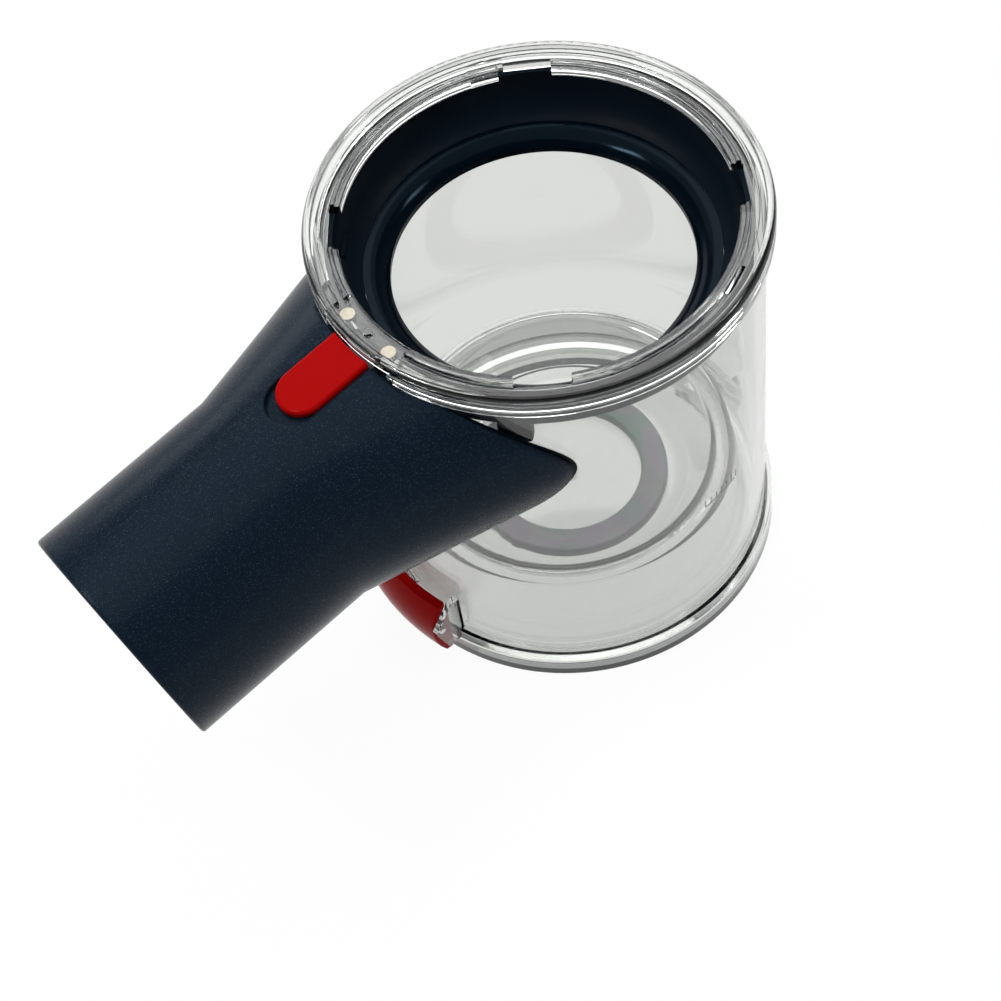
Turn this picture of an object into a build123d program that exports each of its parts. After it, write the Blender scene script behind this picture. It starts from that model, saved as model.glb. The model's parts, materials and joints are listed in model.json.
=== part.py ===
# Dust bin of a handheld cyclone vacuum cleaner: a clear bin with a side inlet duct, a scraper
# collar under its rim, a sliding release button and a hinged base flap with a red catch.
# The bin stands on its base flap: z = 0 is the resting face, +Z is the bin's axis, the duct
# points along -X and the flap hinges at +X.
import os
from math import cos, radians, sin, tan

from build123d import *

os.makedirs("parts", exist_ok=True)

# Clear bin
bin_height = 109.4  # resting face to the top of the rim
bin_radius = 45.7  # inside of the wall
wall = 2.3
rim_overhang = 2.0  # flange beyond the wall
rim_height = 6.0
rim_groove = 0.6  # depth of the two grooves round the flange
groove_width = 0.7
rim_round = 0.4
bead_round = 1.2  # outer edge of the rim's top
foot_overhang = 1.5  # lower flange beyond the wall
foot_height = 3.0

# Steps inside the rim, from the outside in
bead_width = 2.0
bead_height = 0.8
step_width = 1.7
seat_depth = 2.2  # rim top down to the shelf
shelf_width = 1.5
shelf_thickness = 1.7
ridge_width = 1.2
ridge_height = 1.3
lip_width = 1.1
lip_rise = 0.5  # lip above the shelf
lip_gap_width = 11.8  # openings in the lip for the lugs of the cleaner's body
lip_gap_turns = (51.4, 147.1, 233.9, 320.8)  # degrees from the duct to each opening
shelf_slot_length = 8.0
shelf_slot_turns = (113.5, 245.0)  # degrees from the duct to each slot through the shelf
notch_width = 21.0  # flange cut away over the button
notch_height = 3.0

# Inlet duct
duct_slope = 9.3  # degrees below level, going outwards
crown_drop = 2.99  # rim top down to the tube's crown line, at the rim's edge
tube_radius = 26.4
tube_length = 44.8
tube_round = 0.8
duct_wall = 2.4
flare_length = 27.0  # bin wall to the crease round the tube
flare_pinch = 1.0  # flare's top at its root, below the tube's
flare_drop = 2.5  # flare's middle at its root, below the tube's line
wing_wrap = 60.6  # degrees round the bin that each wing reaches
socket_depth = 40.0  # how far a wand goes in
socket_stop = 1.2
saddle_gap = 0.8  # room for the gasket between duct and bin
gasket_inset = 0.5
gasket_width = 1.5
window_inset = 10.0  # window in the bin wall, inside the flare's outline
window_drop = 1.5  # window below the scraper

# Scraper collar
collar_wall = 1.8
collar_drop = 14.4  # rim top down to the ledge
collar_skirt = 12.0  # rim top down to the foot of the collar's outer wall
ledge_width = 5.0
ledge_thickness = 2.2
hollow_height = 8.0  # ledge up to where its hollow meets the wall
lip_reach = 5.7  # soft lip inwards from the ledge
lip_fall = 2.6  # soft lip downwards from the ledge
lip_edge = 1.4
lug_turn = 43.0  # degrees from the duct to each hanging lug
lug_width = 7.0
lug_length = 6.2  # below the collar's outer wall

# Release button and latch
button_width = 11.6
button_length = 15.2
button_proud = 0.3  # top face above the tube's crown line
button_thickness = 1.8
button_round = 0.8
button_travel = 2.6
recess_depth = 1.9
recess_gap = 0.35
guide_roof = 1.5
guide_wall = 1.6
latch_width = 9.6
latch_height = 4.6
latch_length = 16.0
tongue_height = 3.0
tongue_width = 8.0
tongue_reach = 3.0  # nose beyond the inside of the wall
stem_width = 4.0
stem_length = 7.0
stem_depth = 2.0  # stem's foot into the latch
spring_room = 6.5
spring_radius = 1.7
spring_wire = 0.5
spring_turns = 5

# Sensor magnets
magnet_radius = 1.6
magnet_height = 1.4
magnet_spread = 6.9  # from the middle to each magnet
magnet_inset = 4.7  # rim's edge to the magnets
block_width = 20.0
block_rise = 0.2  # block above the shelf
nub_radius = 1.0
nub_height = 0.6

# Base flap
flap_wall = 1.9
flap_band = 5.0  # height of the flap's outer band
flap_overhang = 0.3  # flap beyond the bin's lower flange
band_width = 6.0
dome_gap = 0.5  # bin wall to the foot of the dome
crest_inset = 5.5  # bin wall to the crest's outer corner
crest_height = 28.4
crest_width = 4.6
crest_round = 3.1
bowl_slope = 62.0  # degrees, inside of the crest
bowl_floor = 13.7
bowl_round = 5.0
centre_nub = 2.2
centre_nub_height = 0.7
pad_inset = 3.5  # edge of the bowl's floor to its grey seal
pad_width = 6.4
pad_thickness = 2.6
base_seal_width = 1.0
base_seal_height = 1.4
base_seal_inset = 1.2  # base seal from the flap's edge

# Hinge
hinge_reach = 3.7  # flap's edge to the pin's axis
knuckle_radius = 3.0
knuckle_lift = 0.3  # knuckle above the resting face
knuckle_width = 11.4
hinge_lug = 4.0
hinge_pin_radius = 1.25

# Catch
catch_width = 26.0
catch_height = 20.0
catch_stand = 3.6  # bin wall to the pin's axis
catch_pin_height = 13.0
catch_pin_radius = 0.8
catch_bow = 2.9  # lever's front beyond the pin's axis
catch_top_thickness = 2.2
catch_foot_thickness = 1.9
catch_round = 0.6
catch_lift = 0.6  # lever's foot above the resting face
catch_cheek = 1.6
cheek_top = 21.0
cheek_foot = 1.0  # cheek's foot beyond the flap's edge
cheek_reach = 1.8  # cheek beyond the pin's axis
catch_spring_radius = 2.0
catch_spring_wire = 0.35
catch_spring_turns = 2
catch_spring_drop = 3.0  # lever's top down to the spring

# Clearances
part_gap = 0.3  # between moving pieces
fit_gap = 0.05  # between pieces that sit in each other
pin_fit = 0.02
run_fit = 0.06

# Heights and radii that several pieces share
rim_top = bin_height
rim_foot = rim_top - rim_height
wall_outer = bin_radius + wall
rim_radius = wall_outer + rim_overhang
foot_radius = wall_outer + foot_overhang
bin_foot = flap_band + part_gap
bead_inner = rim_radius - bead_width
seat_radius = bead_inner - step_width
ridge_outer = seat_radius - shelf_width
ridge_inner = ridge_outer - ridge_width
lip_inner = ridge_inner - lip_width
step_top = rim_top - bead_height
shelf_top = rim_top - seat_depth
shelf_foot = shelf_top - shelf_thickness
block_top = shelf_top + block_rise
collar_radius = bin_radius - fit_gap
collar_inner = bin_radius - collar_wall
collar_foot = rim_top - collar_skirt
ledge_top = rim_top - collar_drop
ledge_foot = ledge_top - ledge_thickness
ledge_inner = collar_inner - ledge_width
lip_end = ledge_top - lip_fall
flap_radius = foot_radius + flap_overhang
crest_outer = bin_radius - crest_inset
crest_inner = crest_outer - crest_width
bowl_edge = crest_inner - (crest_height - bowl_floor) / tan(radians(bowl_slope))
pad_outer = bowl_edge - pad_inset
hinge_x = flap_radius + hinge_reach
hinge_z = knuckle_radius + knuckle_lift
catch_x = -(wall_outer + catch_stand)
hook = flap_radius + part_gap  # back of the catch, just outside the flap's edge

# The duct's line: distances along it are measured from the bin's axis
slope = radians(duct_slope)
outwards = Vector(-cos(slope), 0, -sin(slope))
upwards = Vector(-sin(slope), 0, cos(slope))
duct_root = Vector(0, 0, rim_top - crown_drop + rim_radius * tan(slope) - tube_radius / cos(slope))
flare_height = tube_radius - flare_pinch
crease = wall_outer + flare_length
tube_end = crease + tube_length
wing_half = wall_outer * sin(radians(wing_wrap))
wing_root = wall_outer * cos(radians(wing_wrap)) / cos(slope)
flare_root = wing_root / 2
root_half = wing_half + (wing_half - tube_radius) * (wing_root - flare_root) / (crease - wing_root)
crown = Plane(origin=duct_root + upwards * tube_radius, x_dir=outwards, z_dir=upwards)

# Levels of the release mechanism, measured from the crown line
button_foot = button_proud - button_thickness
guide_top = -recess_depth - guide_roof
guide_height = latch_height + 2 * run_fit
guide_width = latch_width + 4 * run_fit
guide_foot = guide_top - guide_height
button_end = rim_radius + button_length
latch_start = rim_radius + recess_gap
latch_end = latch_start + latch_length
guide_end = latch_end + spring_room


def across(distance):
    """Plane across the duct, at a distance along it."""
    return Plane(origin=duct_root + outwards * distance, x_dir=(0, 1, 0), z_dir=outwards)


def flare(inset):
    """The duct's flare, all its walls set in by the same amount."""
    with BuildPart() as body:
        with BuildSketch(across(crease)):
            Circle(tube_radius - inset)
        with BuildSketch(across(flare_root)):
            with Locations((0, flare_drop)):
                Ellipse(root_half - inset, flare_height + flare_drop - inset)
        loft(ruled=True)
    return body.part


def coil(radius, wire, length, turns, start, direction):
    """A compression spring: a round wire along a helix."""
    base = start + direction * (wire / 2)
    rise = length - wire
    with BuildPart() as spring:
        with BuildLine():
            path = Helix(rise / turns, rise, radius, center=base, direction=direction)
        with BuildSketch(Plane(origin=path @ 0, z_dir=path % 0)):
            Circle(wire / 2)
        sweep(is_frenet=True)
    return spring.part


flare_skin = flare(0)
flare_hollow = flare(duct_wall)

# Block under the crown that guides the latch, kept inside the flare
with BuildPart() as latch_guide:
    with BuildSketch(crown.offset(guide_foot - guide_wall)):
        Rectangle(guide_end + guide_wall, guide_width + 2 * guide_wall, align=(Align.MIN, Align.CENTER))
    extrude(amount=guide_wall - guide_foot)
    add(flare_skin, mode=Mode.INTERSECT)

# Inlet duct: tube and flare, hollow, seated on the bin and under its rim
with BuildPart() as inlet_duct:
    add(flare_skin)
    with BuildSketch(across(crease)):
        Circle(tube_radius)
    extrude(amount=tube_length)
    fillet(inlet_duct.faces().sort_by(Axis((0, 0, 0), outwards))[-1].edges(), tube_round)
    add(flare_hollow, mode=Mode.SUBTRACT)
    with BuildSketch(across(crease)):
        Circle(tube_radius - duct_wall - socket_stop)
    extrude(amount=tube_length, mode=Mode.SUBTRACT)
    with BuildSketch(across(tube_end - socket_depth)):
        Circle(tube_radius - duct_wall)
    extrude(amount=socket_depth, mode=Mode.SUBTRACT)
    add(latch_guide.part)
    recess_end = button_end + button_travel + recess_gap
    with BuildSketch(crown.offset(-recess_depth)):
        with Locations((recess_end - button_width / 2 - recess_gap, 0)):
            Circle(button_width / 2 + recess_gap)
            Rectangle(
                recess_end, button_width + 2 * recess_gap, align=(Align.MAX, Align.CENTER)
            )
    extrude(amount=tube_radius, mode=Mode.SUBTRACT)
    with BuildSketch(crown.offset(guide_foot)):
        Rectangle(guide_end, guide_width, align=(Align.MIN, Align.CENTER))
    extrude(amount=guide_height, mode=Mode.SUBTRACT)
    stem_start = latch_start + (latch_length - stem_length) / 2
    with BuildSketch(crown.offset(guide_top)):
        with Locations((stem_start - part_gap, 0)):
            Rectangle(
                stem_length + button_travel + 2 * part_gap,
                stem_width + 2 * part_gap,
                align=(Align.MIN, Align.CENTER),
            )
    extrude(amount=guide_roof, mode=Mode.SUBTRACT)
    with BuildSketch():
        Circle(wall_outer + saddle_gap)
    extrude(amount=2 * rim_top, mode=Mode.SUBTRACT)
    with BuildSketch(Plane.XY.offset(rim_foot - part_gap)):
        Circle(rim_radius + part_gap)
    extrude(amount=rim_top, mode=Mode.SUBTRACT)

# Gasket between the duct's edge and the bin wall, below the rim
with BuildPart() as inlet_gasket:
    with BuildSketch():
        Circle(wall_outer + saddle_gap - fit_gap)
        Circle(wall_outer + fit_gap, mode=Mode.SUBTRACT)
    extrude(amount=rim_foot - part_gap)
    add(flare(gasket_inset), mode=Mode.INTERSECT)
    add(flare(gasket_inset + gasket_width), mode=Mode.SUBTRACT)

# Window through the bin wall: the flare's own outline, set in and kept below the scraper
with BuildPart() as window:
    add(flare(window_inset))
    with BuildSketch(Plane.XY.offset(lip_end - lip_edge - window_drop)):
        Circle(2 * tube_end)
    extrude(amount=rim_top, mode=Mode.SUBTRACT)

# Clear bin: wall, stepped rim and lower flange in one turned profile
with BuildPart() as bin_body:
    groove_top = rim_top - rim_height / 2
    groove_low = rim_foot + rim_height / 4
    groove_radius = rim_radius - rim_groove
    with BuildSketch(Plane.XZ) as bin_section:
        with BuildLine():
            Polyline(
                (bin_radius, bin_foot),
                (foot_radius, bin_foot),
                (foot_radius, bin_foot + foot_height),
                (wall_outer, bin_foot + foot_height),
                (wall_outer, rim_foot),
                (rim_radius, rim_foot),
                (rim_radius, groove_low),
                (groove_radius, groove_low),
                (groove_radius, groove_low + groove_width),
                (rim_radius, groove_low + groove_width),
                (rim_radius, groove_top),
                (groove_radius, groove_top),
                (groove_radius, groove_top + groove_width),
                (rim_radius, groove_top + groove_width),
                (rim_radius, rim_top),
                (bead_inner, rim_top),
                (bead_inner, step_top),
                (seat_radius, step_top),
                (seat_radius, shelf_top),
                (ridge_outer, shelf_top),
                (ridge_outer, shelf_top + ridge_height),
                (ridge_inner, shelf_top + ridge_height),
                (ridge_inner, shelf_top + lip_rise),
                (lip_inner, shelf_top + lip_rise),
                (lip_inner, shelf_foot),
                (bin_radius, shelf_foot),
                close=True,
            )
        make_face()
        for corner in (
            (rim_radius, rim_foot),
            (bead_inner, rim_top),
            (seat_radius, step_top),
            (ridge_outer, shelf_top + ridge_height),
            (ridge_inner, shelf_top + ridge_height),
            (lip_inner, shelf_top + lip_rise),
        ):
            fillet(bin_section.vertices().sort_by_distance(corner)[0], rim_round)
        fillet(bin_section.vertices().sort_by_distance((rim_radius, rim_top))[0], bead_round)
    revolve(axis=Axis.Z)
    # Block for the two magnets, let into the rim's steps, with a small nub between them
    magnet_x = -(rim_radius - magnet_inset)
    with BuildSketch(Plane.XY.offset(block_top)) as block_outline:
        with Locations((magnet_x, 0)):
            Rectangle(2 * magnet_inset, block_width)
        Circle(bead_inner - rim_round, mode=Mode.INTERSECT)
        Circle(lip_inner + rim_round, mode=Mode.SUBTRACT)
    extrude(amount=shelf_foot - block_top)
    extrude(block_outline.sketch, amount=rim_top - block_top, mode=Mode.SUBTRACT)
    with BuildSketch(Plane.XY.offset(block_top)):
        with Locations((magnet_x, 0)):
            Circle(nub_radius)
    extrude(amount=nub_height)
    with BuildSketch(Plane.XY.offset(block_top - magnet_height)):
        with Locations((magnet_x, magnet_spread), (magnet_x, -magnet_spread)):
            Circle(magnet_radius + fit_gap)
    extrude(amount=magnet_height, mode=Mode.SUBTRACT)
    # Openings in the lip and slots through the shelf
    with BuildSketch(Plane.XY.offset(shelf_foot)):
        for turn in lip_gap_turns:
            with PolarLocations(ridge_outer, 1, start_angle=180 + turn):
                Rectangle(2 * (ridge_outer - lip_inner), lip_gap_width, align=(Align.MAX, Align.CENTER))
        for turn in shelf_slot_turns:
            with PolarLocations((ridge_outer + seat_radius) / 2, 1, start_angle=180 + turn):
                Rectangle(shelf_width, shelf_slot_length)
    extrude(amount=seat_depth + shelf_thickness, mode=Mode.SUBTRACT)
    # Flange cut away over the button
    with BuildSketch(Plane.XY.offset(rim_foot)):
        with Locations((-rim_radius, 0)):
            Rectangle(rim_radius, notch_width)
        Circle(wall_outer, mode=Mode.SUBTRACT)
    extrude(amount=notch_height, mode=Mode.SUBTRACT)
    # Hinge lugs
    for side in (1, -1):
        lug_middle = side * (knuckle_width / 2 + part_gap + hinge_lug / 2)
        with BuildSketch(Plane.XZ.offset(-lug_middle)):
            with Locations((hinge_x + knuckle_radius, bin_foot + foot_height)):
                Rectangle(hinge_x + knuckle_radius - wall_outer, foot_height, align=Align.MAX)
                Rectangle(2 * knuckle_radius, bin_foot + foot_height - hinge_z, align=Align.MAX)
            with Locations((hinge_x, hinge_z)):
                Circle(knuckle_radius)
        extrude(amount=hinge_lug / 2, both=True)
    with BuildSketch(Plane.XZ):
        with Locations((hinge_x, hinge_z)):
            Circle(hinge_pin_radius + pin_fit)
    extrude(amount=knuckle_width, both=True, mode=Mode.SUBTRACT)
    # Cheeks of the catch
    for side in (1, -1):
        cheek_middle = side * (catch_width / 2 + part_gap + catch_cheek / 2)
        with BuildSketch(Plane.XZ.offset(-cheek_middle)):
            with BuildLine():
                Polyline(
                    (-bin_radius, bin_foot),
                    (-flap_radius - cheek_foot, bin_foot),
                    (catch_x - cheek_reach, catch_pin_height),
                    (-wall_outer, cheek_top),
                    (-bin_radius, cheek_top),
                    close=True,
                )
            make_face()
        extrude(amount=catch_cheek / 2, both=True)
    with BuildSketch(Plane.XZ):
        with Locations((catch_x, catch_pin_height)):
            Circle(catch_pin_radius + pin_fit)
    extrude(amount=catch_width, both=True, mode=Mode.SUBTRACT)
    with BuildSketch(Plane.XY.offset(bin_foot)):
        Circle(bin_radius)
    extrude(amount=shelf_foot - bin_foot, mode=Mode.SUBTRACT)
    # Window behind the flare and slot for the latch's tongue
    add(window.part, mode=Mode.SUBTRACT)
    with BuildSketch(crown.offset(guide_foot)):
        with Locations((bin_radius / 2, 0)):
            Rectangle(bin_radius, tongue_width + 2 * part_gap, align=(Align.MIN, Align.CENTER))
    extrude(amount=tongue_height + 2 * part_gap, mode=Mode.SUBTRACT)

# Scraper collar: a ring under the rim's shelf that hollows out to a ledge, with two hanging lugs
with BuildPart() as scraper_ring:
    with BuildSketch(Plane.XZ):
        with BuildLine():
            hollow = TangentArc(
                (collar_inner, ledge_top + hollow_height), (ledge_inner, ledge_top), tangent=(0, -1)
            )
            Polyline(
                hollow @ 1,
                (ledge_inner, ledge_foot),
                (collar_radius, collar_foot),
                (collar_radius, shelf_foot - fit_gap),
                (collar_inner, shelf_foot - fit_gap),
                hollow @ 0,
            )
        make_face()
    revolve(axis=Axis.Z)
    with BuildSketch(Plane.XY.offset(collar_foot + collar_wall)):
        for turn in (180 - lug_turn, 180 + lug_turn):
            with PolarLocations(collar_radius - collar_wall, 1, start_angle=turn):
                RectangleRounded(2 * collar_wall, lug_width, collar_wall / 2)
        Circle(collar_radius - fit_gap, mode=Mode.INTERSECT)
    extrude(amount=-lug_length - collar_wall)
    with BuildSketch(crown.offset(guide_foot)):
        Rectangle(2 * bin_radius, tongue_width + 2 * part_gap, align=(Align.MIN, Align.CENTER))
    extrude(amount=tongue_height + 2 * part_gap, mode=Mode.SUBTRACT)

# Soft lip: a rolled edge on the inside of the collar's ledge
with BuildPart() as scraper_lip:
    grip = ledge_inner - fit_gap
    lip_radius = ledge_inner - lip_reach
    with BuildSketch(Plane.XZ):
        with BuildLine():
            roll = ThreePointArc(
                (grip, ledge_top),
                (grip - lip_reach / 2, ledge_top - lip_fall / 5),
                (lip_radius, lip_end),
            )
            Polyline(
                roll @ 1,
                (lip_radius, lip_end - lip_edge),
                (grip, ledge_foot),
                roll @ 0,
            )
        make_face()
    revolve(axis=Axis.Z)

# Sensor magnets
with BuildPart() as sensor_magnet_left:
    with BuildSketch(Plane.XY.offset(block_top - magnet_height)):
        with Locations((magnet_x, magnet_spread)):
            Circle(magnet_radius)
    extrude(amount=magnet_height)

with BuildPart() as sensor_magnet_right:
    mirror(sensor_magnet_left.part, about=Plane.XZ)

# Release button: a round-ended slide cap with a stem that plugs into the latch
with BuildPart() as release_button:
    with BuildSketch(crown.offset(button_foot)):
        with Locations((button_end - button_width / 2, 0)):
            Circle(button_width / 2)
            Rectangle(button_end, button_width, align=(Align.MAX, Align.CENTER))
    extrude(amount=button_thickness)
    fillet(release_button.faces().sort_by(Axis((0, 0, 0), upwards))[-1].edges(), button_round)
    with BuildSketch():
        Circle(rim_radius + part_gap)
    extrude(amount=2 * rim_top, mode=Mode.SUBTRACT)
    stem_foot = guide_top - run_fit - stem_depth
    with BuildSketch(crown.offset(stem_foot)):
        with Locations((stem_start, 0)):
            Rectangle(stem_length, stem_width, align=(Align.MIN, Align.CENTER))
    extrude(amount=button_foot - stem_foot)

# Latch: a slide in the guide, with a tongue through the bin wall
with BuildPart() as release_latch:
    with BuildSketch(crown.offset(guide_foot + run_fit)):
        with Locations((latch_start, 0)):
            Rectangle(latch_length, latch_width, align=(Align.MIN, Align.CENTER))
    extrude(amount=latch_height)
    with BuildSketch(crown.offset(guide_foot + part_gap)):
        Rectangle(latch_start, tongue_width, align=(Align.MIN, Align.CENTER))
    extrude(amount=tongue_height)
    with BuildSketch():
        Circle(bin_radius - tongue_reach)
    extrude(amount=2 * rim_top, mode=Mode.SUBTRACT)
    with BuildSketch(crown.offset(stem_foot - fit_gap)):
        with Locations((stem_start - fit_gap, 0)):
            Rectangle(
                stem_length + 2 * fit_gap, stem_width + 2 * fit_gap, align=(Align.MIN, Align.CENTER)
            )
    extrude(amount=latch_height, mode=Mode.SUBTRACT)

# Springs
spring_seat = crown.offset(guide_foot + guide_height / 2)
release_spring = coil(
    spring_radius,
    spring_wire,
    spring_room - 2 * fit_gap,
    spring_turns,
    spring_seat.from_local_coords((latch_end + fit_gap, 0, 0)),
    outwards,
)
catch_spring = coil(
    catch_spring_radius,
    catch_spring_wire,
    hook - wall_outer - 2 * fit_gap,
    catch_spring_turns,
    Vector(-wall_outer - fit_gap, 0, catch_height - catch_spring_drop),
    Vector(-1, 0, 0),
)

# Base flap: an outer band, a domed wall that rolls over a crest into a bowl, and a hinge knuckle
with BuildPart() as base_flap:
    groove_outer = flap_radius - base_seal_inset
    groove_inner = groove_outer - base_seal_width
    with BuildSketch(Plane.XZ):
        with BuildLine():
            FilletPolyline(
                (bin_radius - dome_gap, -flap_wall),
                (crest_outer, crest_height),
                (crest_inner, crest_height),
                (bowl_edge, bowl_floor),
                (0, bowl_floor),
                radius=(crest_round, crest_round, bowl_round),
            )
            offset(amount=flap_wall, side=Side.LEFT)
        make_face()
        with Locations((0, bowl_floor)):
            Rectangle(centre_nub, centre_nub_height, align=Align.MIN)
        with Locations((flap_radius, 0)):
            Rectangle(band_width, flap_band, align=(Align.MAX, Align.MIN))
        with Locations((groove_outer, flap_band)):
            Rectangle(base_seal_width, base_seal_height, align=Align.MAX, mode=Mode.SUBTRACT)
        Rectangle(flap_radius, crest_height, align=Align.MIN, mode=Mode.INTERSECT)
    revolve(axis=Axis.Z)
    with BuildSketch(Plane.XZ):
        with Locations((hinge_x, hinge_z)):
            Circle(knuckle_radius)
        with Locations((hinge_x, 0)):
            Rectangle(hinge_reach + base_seal_inset, hinge_z, align=(Align.MAX, Align.MIN))
    extrude(amount=knuckle_width / 2, both=True)
    with BuildSketch(Plane.XZ):
        with Locations((hinge_x, hinge_z)):
            Circle(hinge_pin_radius + run_fit)
    extrude(amount=knuckle_width, both=True, mode=Mode.SUBTRACT)

# Seals on the flap
with BuildPart() as base_seal:
    with BuildSketch(Plane.XY.offset(flap_band - base_seal_height)):
        Circle(groove_outer - fit_gap)
        Circle(groove_inner + fit_gap, mode=Mode.SUBTRACT)
    extrude(amount=base_seal_height + part_gap / 2)

with BuildPart() as fine_dust_seal:
    with BuildSketch(Plane.XY.offset(bowl_floor)):
        Circle(pad_outer)
        Circle(pad_outer - pad_width, mode=Mode.SUBTRACT)
    extrude(amount=pad_thickness)
    fillet(fine_dust_seal.faces().sort_by(Axis.Z)[-1].edges(), pad_thickness / 4)

# Hinge pin
with BuildPart() as hinge_pin:
    with BuildSketch(Plane.XZ):
        with Locations((hinge_x, hinge_z)):
            Circle(hinge_pin_radius)
    extrude(amount=knuckle_width / 2 + part_gap + hinge_lug, both=True)

# Catch lever: a rocker bowed round the bin, with its foot beside the flap's edge
with BuildPart() as catch_lever:
    with BuildSketch(Plane.XZ):
        with BuildLine():
            front = ThreePointArc(
                (hook + catch_top_thickness, catch_height),
                (catch_bow - catch_x, catch_pin_height),
                (hook + catch_foot_thickness, catch_lift),
            )
            Polyline(front @ 1, (hook, catch_lift), (hook, catch_height), front @ 0)
        make_face()
    revolve(axis=Axis.Z)
    with Locations((catch_x, 0, 0)):
        Box(flap_radius, catch_width, 3 * catch_height, mode=Mode.INTERSECT)
    fillet(catch_lever.faces().filter_by(Axis.Y).edges(), catch_round)
    with BuildSketch(Plane.XZ):
        with Locations((catch_x, catch_pin_height)):
            Circle(catch_pin_radius + run_fit)
    extrude(amount=catch_width, both=True, mode=Mode.SUBTRACT)

with BuildPart() as catch_pin:
    with BuildSketch(Plane.XZ):
        with Locations((catch_x, catch_pin_height)):
            Circle(catch_pin_radius)
    extrude(amount=catch_width / 2 + part_gap + catch_cheek, both=True)

bin_body.part.label = "bin_body"
export_step(bin_body.part, "parts/bin_body.step")
inlet_duct.part.label = "inlet_duct"
export_step(inlet_duct.part, "parts/inlet_duct.step")
inlet_gasket.part.label = "inlet_gasket"
export_step(inlet_gasket.part, "parts/inlet_gasket.step")
scraper_ring.part.label = "scraper_ring"
export_step(scraper_ring.part, "parts/scraper_ring.step")
scraper_lip.part.label = "scraper_lip"
export_step(scraper_lip.part, "parts/scraper_lip.step")
sensor_magnet_left.part.label = "sensor_magnet_left"
export_step(sensor_magnet_left.part, "parts/sensor_magnet_left.step")
sensor_magnet_right.part.label = "sensor_magnet_right"
export_step(sensor_magnet_right.part, "parts/sensor_magnet_right.step")
release_button.part.label = "release_button"
export_step(release_button.part, "parts/release_button.step")
release_latch.part.label = "release_latch"
export_step(release_latch.part, "parts/release_latch.step")
base_flap.part.label = "base_flap"
export_step(base_flap.part, "parts/base_flap.step")
base_seal.part.label = "base_seal"
export_step(base_seal.part, "parts/base_seal.step")
fine_dust_seal.part.label = "fine_dust_seal"
export_step(fine_dust_seal.part, "parts/fine_dust_seal.step")
hinge_pin.part.label = "hinge_pin"
export_step(hinge_pin.part, "parts/hinge_pin.step")
catch_lever.part.label = "catch_lever"
export_step(catch_lever.part, "parts/catch_lever.step")
catch_pin.part.label = "catch_pin"
export_step(catch_pin.part, "parts/catch_pin.step")
release_spring.label = "release_spring"
export_step(release_spring, "parts/release_spring.step")
catch_spring.label = "catch_spring"
export_step(catch_spring, "parts/catch_spring.step")
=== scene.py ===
# %% [markdown]
# # A clear dust bin with a flared inlet
# The part is the dust bin of a handheld cyclone cleaner: a clear bin, a dark flake-finished inlet
# that wraps round it, a scraper collar under the rim, a red release button and a hinged base flap.
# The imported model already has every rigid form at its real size, in metres, so this lesson is
# about finishes: what clear, satin and glossy mouldings need before they look like the real ones.

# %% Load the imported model
import json
from math import cos, radians, sin

import bpy
from mathutils import Matrix, Vector


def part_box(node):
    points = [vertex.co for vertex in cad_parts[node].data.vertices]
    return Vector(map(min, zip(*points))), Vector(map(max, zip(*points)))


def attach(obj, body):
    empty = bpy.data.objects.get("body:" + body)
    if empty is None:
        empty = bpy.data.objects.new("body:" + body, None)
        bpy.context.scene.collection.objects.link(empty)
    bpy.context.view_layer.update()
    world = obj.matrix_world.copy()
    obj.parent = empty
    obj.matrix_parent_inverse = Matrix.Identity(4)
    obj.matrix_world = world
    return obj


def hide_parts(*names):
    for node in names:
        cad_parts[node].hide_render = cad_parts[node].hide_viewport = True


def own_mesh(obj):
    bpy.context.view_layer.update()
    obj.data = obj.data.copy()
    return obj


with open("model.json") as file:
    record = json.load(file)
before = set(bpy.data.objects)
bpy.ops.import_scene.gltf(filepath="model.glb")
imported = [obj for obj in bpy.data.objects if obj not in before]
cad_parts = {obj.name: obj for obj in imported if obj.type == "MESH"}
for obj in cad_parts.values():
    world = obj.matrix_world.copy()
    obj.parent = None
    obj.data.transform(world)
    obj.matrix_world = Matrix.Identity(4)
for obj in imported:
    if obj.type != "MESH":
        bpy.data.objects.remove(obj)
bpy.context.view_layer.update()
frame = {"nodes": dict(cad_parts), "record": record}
nodes = frame["nodes"]
scene = bpy.context.scene
scene.view_settings.view_transform = "Standard"

# %% [markdown]
# ## Camera
# The bin is seen from above and in front of the inlet, with the camera turned a little about its
# own line of sight. One way is to place a camera by eye. Here the direction, the roll and the
# distance are named, and the camera's three axes are worked out from them, so that each can be
# corrected by itself.

# %% Camera
view_azimuth = radians(-31.32)
view_elevation = radians(55.62)
view_roll = radians(-9.75)
view_distance = 0.4611  # camera to the middle of the rim, along the line of sight
view_right, view_up = 0.00753, 0.06113  # the rim's middle from the middle of the picture
focal_pixels, picture_pixels, sensor_mm = 2200, 1001, 36

rim_middle = Vector((0, 0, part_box("bin_body")[1].z))
backward = Vector((
    sin(view_azimuth) * cos(view_elevation),
    -cos(view_azimuth) * cos(view_elevation),
    sin(view_elevation),
))
level = Vector((cos(view_azimuth), sin(view_azimuth), 0))
rise = backward.cross(level)
right = cos(view_roll) * level + sin(view_roll) * rise
up = cos(view_roll) * rise - sin(view_roll) * level

camera = bpy.data.objects.new("camera", bpy.data.cameras.new("camera"))
scene.collection.objects.link(camera)
camera.data.sensor_width = sensor_mm
camera.data.lens = focal_pixels / picture_pixels * sensor_mm
turn = Matrix((right, up, backward)).transposed().to_4x4()
eye = rim_middle - right * view_right - up * view_up + backward * view_distance
camera.matrix_world = Matrix.Translation(eye) @ turn
scene.camera = camera
print("camera at", [round(v, 3) for v in eye])


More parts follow.
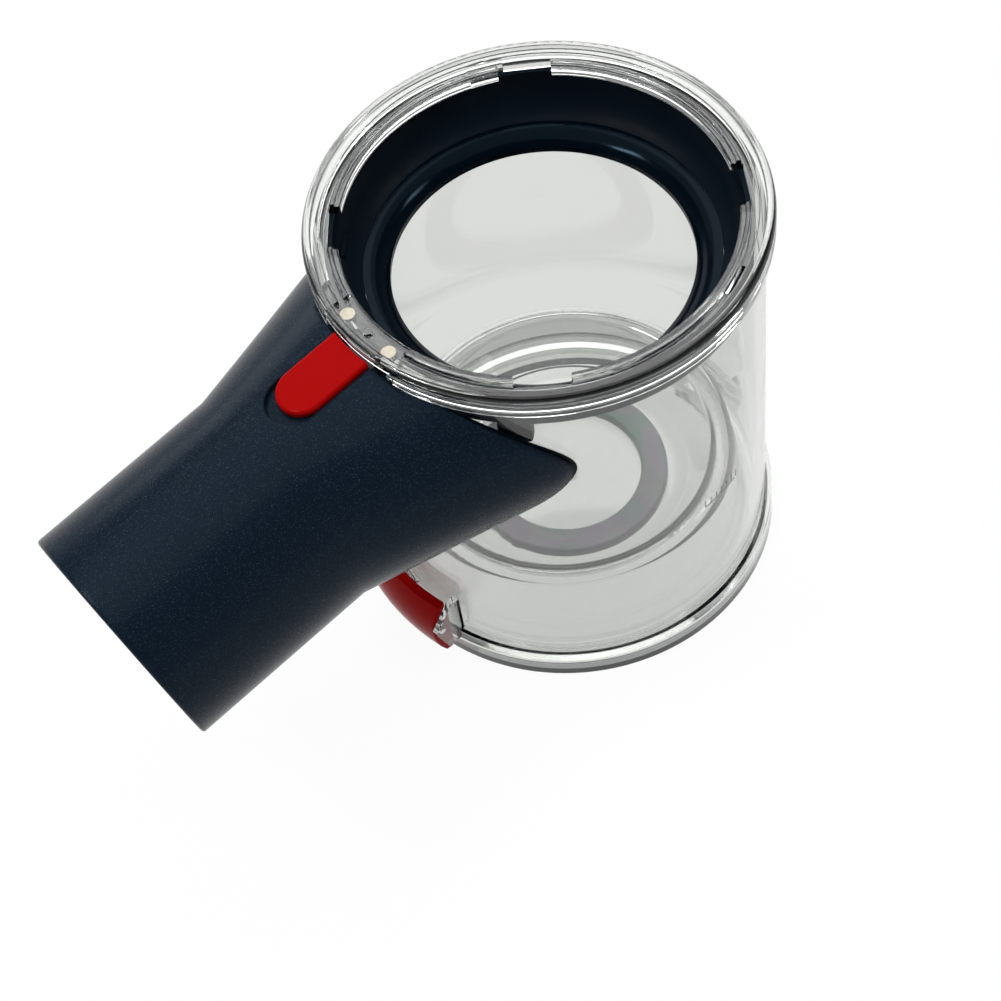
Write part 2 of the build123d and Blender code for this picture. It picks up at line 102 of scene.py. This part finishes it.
# %% [markdown]
# ## Node helpers
# Every material and tree in this lesson is wired by script. Adding a node, setting its sockets and
# linking it are always the same three moves, so they become two small functions, and the cells
# that follow read as lists of what is joined to what.

# %% Node helpers
def add_node(tree, kind, operation=None, **values):
    """A new node whose sockets get these values, with _ for a space in a socket's name."""
    node = tree.nodes.new(kind)
    if operation:
        node.operation = operation
    for socket, value in values.items():
        node.inputs[socket.replace("_", " ")].default_value = value
    return node


def link(tree, *chain):
    """Joins pairs of sockets: from the first to the second, from the third to the fourth..."""
    for source, target in zip(chain[::2], chain[1::2]):
        tree.links.new(source, target)


# %% [markdown]
# ## Room
# Clear plastic shows nothing of itself: it shows what stands round it. A wholly white room would
# make its edges vanish, and a dark one would turn it black. So the world is bright near the
# ground and much dimmer overhead, as over a pale table in a deep room, which also keeps the dark
# mouldings dark. Rays that come straight from the camera see plain white.

# %% Room
ground_glow, zenith_glow = 0.8, 0.2
glow_low, glow_high = -0.05, 0.62  # heights of the gaze between which the glow falls off
room_colour = (0.93, 0.97, 1, 1)
white = (1, 1, 1, 1)
bounces = 24  # a ray crosses many clear walls before it leaves the bin

world = bpy.data.worlds.new("studio")
scene.world = world
world.use_nodes = True
tree = world.node_tree
tree.nodes.clear()
gaze = add_node(tree, "ShaderNodeTexCoord")
parts = add_node(tree, "ShaderNodeSeparateXYZ")
fall = add_node(tree, "ShaderNodeMapRange", From_Min=glow_low, From_Max=glow_high,
                To_Min=ground_glow, To_Max=zenith_glow)
ray = add_node(tree, "ShaderNodeLightPath")
room = add_node(tree, "ShaderNodeBackground", Color=room_colour)
paper = add_node(tree, "ShaderNodeBackground", Color=white)
choice = add_node(tree, "ShaderNodeMixShader")
output = add_node(tree, "ShaderNodeOutputWorld")
link(tree, gaze.outputs["Generated"], parts.inputs[0],
     parts.outputs["Z"], fall.inputs["Value"],
     fall.outputs["Result"], room.inputs["Strength"],
     ray.outputs["Is Camera Ray"], choice.inputs["Fac"],
     room.outputs[0], choice.inputs[1],
     paper.outputs[0], choice.inputs[2],
     choice.outputs[0], output.inputs["Surface"])
scene.cycles.max_bounces = bounces
scene.cycles.transmission_bounces = bounces
scene.cycles.transparent_max_bounces = bounces
print("room glow from", ground_glow, "to", zenith_glow)


# %% [markdown]
# ## Lamps
# The highlights say where the light came from. One on the far right of the soft lip's roll points
# to a window high over the inlet, and a weaker one on the left of the roll to a small lamp across
# from it. A wide ceiling panel gives most of the plain light, a low lamp at the back brightens the
# far wall, and a panel stands where the flats of the rim mirror it. Each lamp is a softbox, given
# by the direction it stands in, so that it can be walked round the bin without changing its
# distance.

# %% Lamps
lamp_distance = 1.0
bin_middle = Vector((0, 0, rim_middle.z / 2))


def softbox(name, direction, width, height, watts):
    """A soft lamp that looks at the bin from this direction."""
    lamp = bpy.data.lights.new(name, "AREA")
    lamp.shape = "RECTANGLE"
    lamp.size, lamp.size_y = width, height
    lamp.energy = watts
    holder = bpy.data.objects.new(name, lamp)
    scene.collection.objects.link(holder)
    heading = Vector(direction).normalized()
    holder.location = bin_middle + heading * lamp_distance
    holder.rotation_euler = heading.to_track_quat("Z", "Y").to_euler()


softbox("window", direction=(-0.51, 0.24, 0.83), width=0.24, height=0.10, watts=3.5)
softbox("fill", direction=(0.57, -0.30, 0.77), width=0.18, height=0.14, watts=1.6)
softbox("ceiling", direction=(0.10, 0.20, 1.0), width=1.20, height=1.50, watts=7.4)
softbox("back", direction=(0.30, 0.90, 0.32), width=0.90, height=0.30, watts=1.8)
softbox("rim", direction=(0.29, 0.48, 0.83), width=0.45, height=0.45, watts=1.4)
print("lamps:", len(bpy.data.lights))

# %% [markdown]
# ## Floor
# The bin stands on plain white paper. A diffuse floor alone would need so much light to look
# white that the bin would wash out. So reflections and refractions find a floor that mostly glows
# by itself. The camera looks through most of it to the white world, which looks the same, but
# still shows the base flap when that hangs open below the floor. The rest is ordinary diffuse
# paper, which keeps the soft shadow.

# %% Floor
floor_size, floor_glow, floor_drop = 6.0, 0.95, 0.0002
paper_colour = (0.9, 0.9, 0.9, 1)
bpy.ops.mesh.primitive_plane_add(size=floor_size, location=(0, 0, -floor_drop))
floor = bpy.context.object
floor.name = "floor"
paper_finish = bpy.data.materials.new("floor_paper")
paper_finish.use_nodes = True
tree = paper_finish.node_tree
tree.nodes.clear()
matt = add_node(tree, "ShaderNodeBsdfDiffuse", Color=paper_colour)
glow = add_node(tree, "ShaderNodeEmission")
glass = add_node(tree, "ShaderNodeBsdfTransparent")
mirrored = add_node(tree, "ShaderNodeMixShader", Fac=floor_glow)
direct = add_node(tree, "ShaderNodeMixShader", Fac=floor_glow)
ray = add_node(tree, "ShaderNodeLightPath")
bent = add_node(tree, "ShaderNodeMath", "MAXIMUM")
paper_or_mirror = add_node(tree, "ShaderNodeMixShader")
choice = add_node(tree, "ShaderNodeMixShader")
output = add_node(tree, "ShaderNodeOutputMaterial")
link(tree, matt.outputs[0], mirrored.inputs[1],
     glow.outputs[0], mirrored.inputs[2],
     matt.outputs[0], direct.inputs[1],
     glass.outputs[0], direct.inputs[2],
     ray.outputs["Is Glossy Ray"], bent.inputs[0],
     ray.outputs["Is Transmission Ray"], bent.inputs[1],
     bent.outputs[0], paper_or_mirror.inputs["Fac"],
     matt.outputs[0], paper_or_mirror.inputs[1],
     mirrored.outputs[0], paper_or_mirror.inputs[2],
     ray.outputs["Is Camera Ray"], choice.inputs["Fac"],
     paper_or_mirror.outputs[0], choice.inputs[1],
     direct.outputs[0], choice.inputs[2],
     choice.outputs[0], output.inputs["Surface"])
floor.data.materials.append(paper_finish)
print("floor glow:", floor_glow)


# %% [markdown]
# ## Finishes
# Each finish is one short function on a Principled shader. A moulding is never one flat colour:
# gloss varies where the mould was polished, flakes catch the light one by one, and silicone has a
# faint bloom. These variations are noises on Object coordinates, sized in real millimetres, so
# that they stay put on the piece when it moves.

# %% Helpers for finishes
noise_low, noise_high = 0.3, 0.7  # most of a noise lies between these


def noise(tree, millimetres, detail=3):
    """A noise on Object coordinates whose grain has this size."""
    place = add_node(tree, "ShaderNodeTexCoord")
    grain = add_node(tree, "ShaderNodeTexNoise", Scale=1000 / millimetres, Detail=detail)
    link(tree, place.outputs["Object"], grain.inputs["Vector"])
    return grain.outputs["Fac"]


def finish(name, colour, roughness, grain, **values):
    """A material with one Principled shader. Its roughness varies from low to high over a grain
    of some millimetres, and its other sockets get these values."""
    material = bpy.data.materials.new(name)
    material.use_nodes = True
    tree = material.node_tree
    shader = tree.nodes["Principled BSDF"]
    shader.inputs["Base Color"].default_value = (*colour, 1)
    for socket, value in values.items():
        shader.inputs[socket.replace("_", " ")].default_value = value
    low, high = roughness
    shader.inputs["Roughness"].default_value = (low + high) / 2
    spread = add_node(tree, "ShaderNodeMapRange", From_Min=noise_low, From_Max=noise_high,
                      To_Min=low, To_Max=high)
    link(tree, noise(tree, grain), spread.inputs["Value"],
         spread.outputs["Result"], shader.inputs["Roughness"])
    return material, tree, shader


def dent(tree, source, shader, height):
    """Bump of this height in millimetres."""
    bump = add_node(tree, "ShaderNodeBump", Strength=1.0, Distance=height / 1000)
    link(tree, source, bump.inputs["Height"], bump.outputs["Normal"], shader.inputs["Normal"])


def blend_colours(tree, source, *stops):
    """A colour ramp through these (place, colour) stops, driven by a value."""
    ramp = add_node(tree, "ShaderNodeValToRGB")
    marks = ramp.color_ramp.elements
    while len(marks) < len(stops):
        marks.new(0.5)
    for mark, (place, colour) in zip(marks, stops):
        mark.position = place
        mark.color = (*colour, 1)
    link(tree, source, ramp.inputs["Fac"])
    return ramp.outputs["Color"]


# %% [markdown]
# ## Clear plastic
# The bin and its flap are polished mouldings of one clear, slightly grey plastic. A mix of
# transparency and gloss would be quick, but it bends nothing, and it is the bending that draws the
# rim's lines. So this is real refraction. Only shadow rays pass straight through, so that lamps
# light the inside without slow, noisy caustics.

# %% Clear plastic
def clear_plastic():
    """Polished clear moulding: lets lamp light through, bends what is seen."""
    tint, shadow_tint = (0.72, 0.73, 0.714), (0.9, 0.92, 0.91, 1)
    material, tree, shader = finish(
        "clear_plastic", tint, roughness=(0.0, 0.05), grain=9, Transmission_Weight=1.0, IOR=1.52
    )
    dent(tree, noise(tree, 14, detail=1), shader, 0.01)
    through = add_node(tree, "ShaderNodeBsdfTransparent", Color=shadow_tint)
    ray = add_node(tree, "ShaderNodeLightPath")
    choice = add_node(tree, "ShaderNodeMixShader")
    link(tree, ray.outputs["Is Shadow Ray"], choice.inputs["Fac"],
         shader.outputs[0], choice.inputs[1],
         through.outputs[0], choice.inputs[2],
         choice.outputs[0], tree.nodes["Material Output"].inputs["Surface"])
    return material


# %% [markdown]
# ## Flake plastic
# The inlet is dark blue-grey plastic with fine metal flakes in it. Real flakes lie at their own tilts
# under a smooth skin, and shine where they happen to face a lamp. So a cell pattern picks a few cells
# as flakes, each of which leans the surface by its own random amount, and a thin clear coat keeps the
# skin over it smooth. The flake cells are also painted a lighter blue-grey: a painted glint that
# stands for the metal's reflection and looks the same from everywhere. The sheen has a blue tint,
# because a neutral one turns so dark a colour brown.

# %% Flake plastic
flake_size, flake_share, flake_tilt = 0.15, 0.10, 0.4  # millimetres, share of cells, lean
edge_round = 0.0012  # edges catch light as if rounded by this much


def flake_plastic():
    """Dark plastic with flakes, each with its own tilt and a painted glint, under a smooth skin."""
    dark, painted_flake_glint = (0.0040, 0.0094, 0.0175), (0.026, 0.038, 0.053)
    material, tree, shader = finish(
        "flake_plastic", dark, roughness=(0.22, 0.32), grain=0.6,
        Specular_IOR_Level=0.08, Specular_Tint=(0.6, 0.8, 1, 1), Coat_Weight=0.02, Coat_Roughness=0.08
    )
    place = add_node(tree, "ShaderNodeTexCoord")
    cells = add_node(tree, "ShaderNodeTexVoronoi", Scale=1000 / flake_size)
    pick = add_node(tree, "ShaderNodeSeparateColor")
    link(tree, place.outputs["Object"], cells.inputs["Vector"],
         cells.outputs["Color"], pick.inputs[0])
    flake = add_node(tree, "ShaderNodeMath", "GREATER_THAN")
    flake.inputs[1].default_value = 1 - flake_share
    lean = add_node(tree, "ShaderNodeVectorMath", "SUBTRACT")
    lean.inputs[1].default_value = (0.5, 0.5, 0.5)
    strength = add_node(tree, "ShaderNodeMath", "MULTIPLY")
    strength.inputs[1].default_value = flake_tilt
    scaled = add_node(tree, "ShaderNodeVectorMath", "SCALE")
    skin = add_node(tree, "ShaderNodeBevel", Radius=edge_round)
    leaning = add_node(tree, "ShaderNodeVectorMath", "ADD")
    unit = add_node(tree, "ShaderNodeVectorMath", "NORMALIZE")
    link(tree, pick.outputs[0], flake.inputs[0],
         cells.outputs["Color"], lean.inputs[0],
         flake.outputs[0], strength.inputs[0],
         lean.outputs[0], scaled.inputs[0],
         strength.outputs[0], scaled.inputs["Scale"],
         skin.outputs[0], leaning.inputs[0],
         scaled.outputs[0], leaning.inputs[1],
         leaning.outputs[0], unit.inputs[0],
         unit.outputs[0], shader.inputs["Normal"],
         skin.outputs[0], shader.inputs["Coat Normal"])
    # flake cells painted lighter: a painted glint for the metal flakes' reflection
    colour = blend_colours(tree, pick.outputs[0], (1 - flake_share, dark), (1.0, painted_flake_glint))
    link(tree, colour, shader.inputs["Base Color"])
    return material


# %% [markdown]
# ## Satin collar
# The scraper collar is a plain satin moulding, almost black with a little blue. A fine grain keeps
# its highlights broad and dull, and a low specular level keeps it dark beside the glossy rim.

# %% Satin collar
def collar_plastic():
    """Satin blue-black moulding with a fine grain."""
    material, tree, shader = finish(
        "collar_plastic", (0.0018, 0.0050, 0.0094), roughness=(0.36, 0.48), grain=5,
        Specular_IOR_Level=0.04
    )
    dent(tree, noise(tree, 0.25), shader, 0.008)
    return material


# %% [markdown]
# ## Rubber
# The soft lip, the gasket and the base seal are black rubber: smoother than the collar, so the window
# shows in them as a small clear highlight, with a blue tint as on the inlet. The ring on the flap is
# rubber painted a mid grey with a faint rainbow. Both are a painted reflection: they stand for the
# pale room mirrored in its gloss, drawn as a slow noise through four close greys, which shows in
# every viewer.

# %% Rubber
def black_rubber():
    """Soft black rubber with a clear highlight."""
    material, _, _ = finish(
        "black_rubber", (0.0008, 0.0026, 0.0052), roughness=(0.11, 0.18), grain=6,
        Specular_IOR_Level=0.06, Specular_Tint=(0.45, 0.72, 1, 1)
    )
    return material


def grey_rubber():
    """Rubber painted grey with a faint rainbow, a painted reflection of the room."""
    material, tree, shader = finish(
        "grey_rubber", (0.2, 0.2, 0.21), roughness=(0.34, 0.46), grain=3
    )
    # painted reflection: the grey and the rainbow stand for the room mirrored in the ring
    painted_room_sheen = blend_colours(
        tree, noise(tree, 12, detail=1),
        (0.34, (0.12, 0.20, 0.17)), (0.45, (0.2, 0.2, 0.205)),
        (0.55, (0.21, 0.165, 0.22)), (0.66, (0.15, 0.19, 0.19)),
    )
    link(tree, painted_room_sheen, shader.inputs["Base Color"])
    return material


# %% [markdown]
# ## Red plastic
# Button and catch are glossy red mouldings. The red is deep rather than bright: its green and blue
# are close to nothing. A clear coat would whiten it, so a low roughness with a fine unevenness
# gives the small highlights on their edges.

# %% Red plastic
def red_plastic():
    """Glossy saturated red."""
    material, tree, shader = finish(
        "red_plastic", (0.325, 0.001, 0.001), roughness=(0.14, 0.22), grain=7,
        Specular_IOR_Level=0.03
    )
    dent(tree, noise(tree, 3, detail=1), shader, 0.004)
    return material


# %% [markdown]
# ## Inner pieces
# The latch behind the button is satin black, the springs and the two pins are drawn steel, and the
# two magnets in the rim are pale plated discs. They are small, so gloss and colour vary within a
# few millimetres, or the variation would never show.

# %% Inner pieces
def latch_plastic():
    """Satin black slide."""
    material, _, _ = finish(
        "latch_plastic", (0.02, 0.02, 0.022), roughness=(0.34, 0.48), grain=3
    )
    return material


def steel():
    """Drawn spring steel."""
    material, _, _ = finish(
        "steel", (0.55, 0.55, 0.56), roughness=(0.2, 0.38), grain=0.8, Metallic=1.0
    )
    return material


def magnet():
    """Pale plated disc."""
    material, tree, shader = finish(
        "magnet", (0.55, 0.50, 0.38), roughness=(0.38, 0.55), grain=0.7
    )
    stain = blend_colours(
        tree, noise(tree, 1.1), (0.35, (0.60, 0.56, 0.44)), (0.65, (0.50, 0.45, 0.34))
    )
    link(tree, stain, shader.inputs["Base Color"])
    return material


# %% [markdown]
# ## Dressing the nodes
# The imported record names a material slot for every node. Reading the slots from it keeps the scene
# right when a piece gets another finish there, and leaves no node without one.

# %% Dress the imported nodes
makers = (clear_plastic, flake_plastic, collar_plastic, black_rubber, grey_rubber,
          red_plastic, latch_plastic, steel, magnet)
finishes = {maker.__name__: maker() for maker in makers}
for subpart in frame["record"]["subparts"]:
    node = nodes[subpart["node"]]
    node.data.materials.clear()
    node.data.materials.append(finishes[subpart["material_slot"]])
print("finishes:", len(finishes))

# %% [markdown]
# ## Geometry Nodes helpers
# Two details follow a rule: the level mark is one rib repeated along an arc, and a spring is one
# wire along a spiral. Loops could place their points. A node tree keeps the rule itself, with
# every size a named input. Its result is made a plain mesh, because a piece that moves with a body
# has to be one.

# %% Geometry Nodes helpers
def start_tree(name, sizes):
    """A tree with a named input for each size."""
    tree = bpy.data.node_groups.new(name, "GeometryNodeTree")
    for size, value in sizes.items():
        kind = "NodeSocketInt" if isinstance(value, int) else "NodeSocketFloat"
        tree.interface.new_socket(size, in_out="INPUT", socket_type=kind)
    tree.interface.new_socket("Geometry", in_out="OUTPUT", socket_type="NodeSocketGeometry")
    return tree, add_node(tree, "NodeGroupInput").outputs


def end_tree(tree, shape, material):
    """Makes instances real, gives them their finish and leads them out."""
    solid = add_node(tree, "GeometryNodeRealizeInstances")
    dressed = add_node(tree, "GeometryNodeSetMaterial", Material=material)
    result = add_node(tree, "NodeGroupOutput")
    link(tree, shape, solid.inputs[0],
         solid.outputs[0], dressed.inputs["Geometry"],
         dressed.outputs[0], result.inputs[0])


def grow(name, tree, sizes):
    """A piece with the plain mesh that the tree gives for these sizes."""
    piece = bpy.data.objects.new(name, bpy.data.meshes.new(name + "_blank"))
    scene.collection.objects.link(piece)
    rule = piece.modifiers.new(name, "NODES")
    rule.node_group = tree
    for item in tree.interface.items_tree:
        if item.in_out == "INPUT":
            rule[item.identifier] = sizes[item.name]
    graph = bpy.context.evaluated_depsgraph_get()
    mesh = bpy.data.meshes.new_from_object(piece.evaluated_get(graph))
    piece.modifiers.remove(rule)
    piece.data = mesh
    return piece


# %% [markdown]
# ## Level mark
# A faint moulded mark on the wall shows how far the bin may be filled: a line round a short arc
# with a row of upright ribs over it. It could be a bump in the material, but ribs of real plastic
# bend the light as the wall does. They stand on the points of the arc, and the same round wire
# makes the ribs and the line.

# %% Level mark: the tree
mark_sizes = {
    "Wall Radius": 0.0480,
    "Level": 0.0466,  # the line's height above the resting face
    "Start": radians(-87.0),
    "Sweep": radians(13.0),
    "Rib Height": 0.0020,
    "Rib Radius": 0.00016,
    "Rib Count": 7,
}
rib_sides = 8
mark_tree, sizes = start_tree("level_mark", mark_sizes)
arc = add_node(mark_tree, "GeometryNodeCurveArc")
rib_top = add_node(mark_tree, "ShaderNodeCombineXYZ")
rib_line = add_node(mark_tree, "GeometryNodeCurvePrimitiveLine")
wire = add_node(mark_tree, "GeometryNodeCurvePrimitiveCircle", Resolution=rib_sides)
rib = add_node(mark_tree, "GeometryNodeCurveToMesh", Fill_Caps=True)
line = add_node(mark_tree, "GeometryNodeCurveToMesh", Fill_Caps=True)
ribs = add_node(mark_tree, "GeometryNodeInstanceOnPoints")
both = add_node(mark_tree, "GeometryNodeJoinGeometry")
height = add_node(mark_tree, "ShaderNodeCombineXYZ")
lifted = add_node(mark_tree, "GeometryNodeTransform")
link(mark_tree, sizes["Wall Radius"], arc.inputs["Radius"],
     sizes["Start"], arc.inputs["Start Angle"],
     sizes["Sweep"], arc.inputs["Sweep Angle"],
     sizes["Rib Count"], arc.inputs["Resolution"],
     sizes["Rib Height"], rib_top.inputs["Z"],
     rib_top.outputs[0], rib_line.inputs["End"],
     sizes["Rib Radius"], wire.inputs["Radius"],
     rib_line.outputs[0], rib.inputs["Curve"],
     wire.outputs[0], rib.inputs["Profile Curve"],
     arc.outputs[0], ribs.inputs["Points"],
     rib.outputs[0], ribs.inputs["Instance"],
     arc.outputs[0], line.inputs["Curve"],
     wire.outputs[0], line.inputs["Profile Curve"],
     ribs.outputs[0], both.inputs[0],
     line.outputs[0], both.inputs[0],
     sizes["Level"], height.inputs["Z"],
     both.outputs[0], lifted.inputs["Geometry"],
     height.outputs[0], lifted.inputs["Translation"])
end_tree(mark_tree, lifted.outputs[0], finishes["clear_plastic"])
print("level mark nodes:", len(mark_tree.nodes))

# %% Level mark: the piece
level_mark = grow("level_mark", mark_tree, mark_sizes)
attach(level_mark, "bin")
print("level mark faces:", len(level_mark.data.polygons))

# %% [markdown]
# ## Springs
# A small steel spring pushes the latch home, and another holds the catch out. Each is wound again as
# a piece of its own: a spiral with a round wire swept along it, laid on the axis of the imported
# spring from one end, and fixed to the bin in place of the imported one.

# %% Springs: the tree
coil_sizes = {"Radius": 0.0017, "Wire Radius": 0.00025, "Length": 0.0064, "Turns": 5.0}
turn_points, wire_sides = 24, 10
coil_tree, sizes = start_tree("coil", coil_sizes)
spiral = add_node(coil_tree, "GeometryNodeCurveSpiral", Resolution=turn_points)
rise_left = add_node(coil_tree, "ShaderNodeMath", "MULTIPLY_ADD")
rise_left.inputs[1].default_value = -2  # half a wire's thickness stays free at both ends
wire = add_node(coil_tree, "GeometryNodeCurvePrimitiveCircle", Resolution=wire_sides)
wound = add_node(coil_tree, "GeometryNodeCurveToMesh", Fill_Caps=True)
link(coil_tree, sizes["Wire Radius"], rise_left.inputs[0],
     sizes["Length"], rise_left.inputs[2],
     rise_left.outputs[0], spiral.inputs["Height"],
     sizes["Turns"], spiral.inputs["Rotations"],
     sizes["Radius"], spiral.inputs["Start Radius"],
     sizes["Radius"], spiral.inputs["End Radius"],
     sizes["Wire Radius"], wire.inputs["Radius"],
     spiral.outputs[0], wound.inputs["Curve"],
     wire.outputs[0], wound.inputs["Profile Curve"])
end_tree(coil_tree, wound.outputs[0], finishes["steel"])
print("coil nodes:", len(coil_tree.nodes))


# %% Springs: the pieces
def spring(node, axis, sizes):
    """A coil in place of a packed spring, laid along its axis from one end."""
    piece = grow(node + "_coil", coil_tree, sizes)
    along = Vector(axis).normalized()
    turn = along.to_track_quat("Z", "Y").to_matrix()
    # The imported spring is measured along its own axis: a box in the frame's axes lies off centre.
    packed = [turn.transposed() @ vertex.co for vertex in nodes[node].data.vertices]
    middle = turn @ Vector([(min(side) + max(side)) / 2 for side in zip(*packed)])
    foot = middle - along * sizes["Length"] / 2
    start = foot + along * sizes["Wire Radius"]
    piece.data.transform(Matrix.Translation(start) @ turn.to_4x4())
    piece.data.shade_smooth()
    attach(piece, "bin")
    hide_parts(node)
    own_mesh(piece)


duct_slope = radians(9.3)  # the latch slides along the inlet, which falls outwards
spring("release_spring", (-cos(duct_slope), 0, -sin(duct_slope)), coil_sizes)
spring("catch_spring", (-1, 0, 0),
       {"Radius": 0.0020, "Wire Radius": 0.000175, "Length": 0.0019, "Turns": 2.0})
print("springs wound: 2")
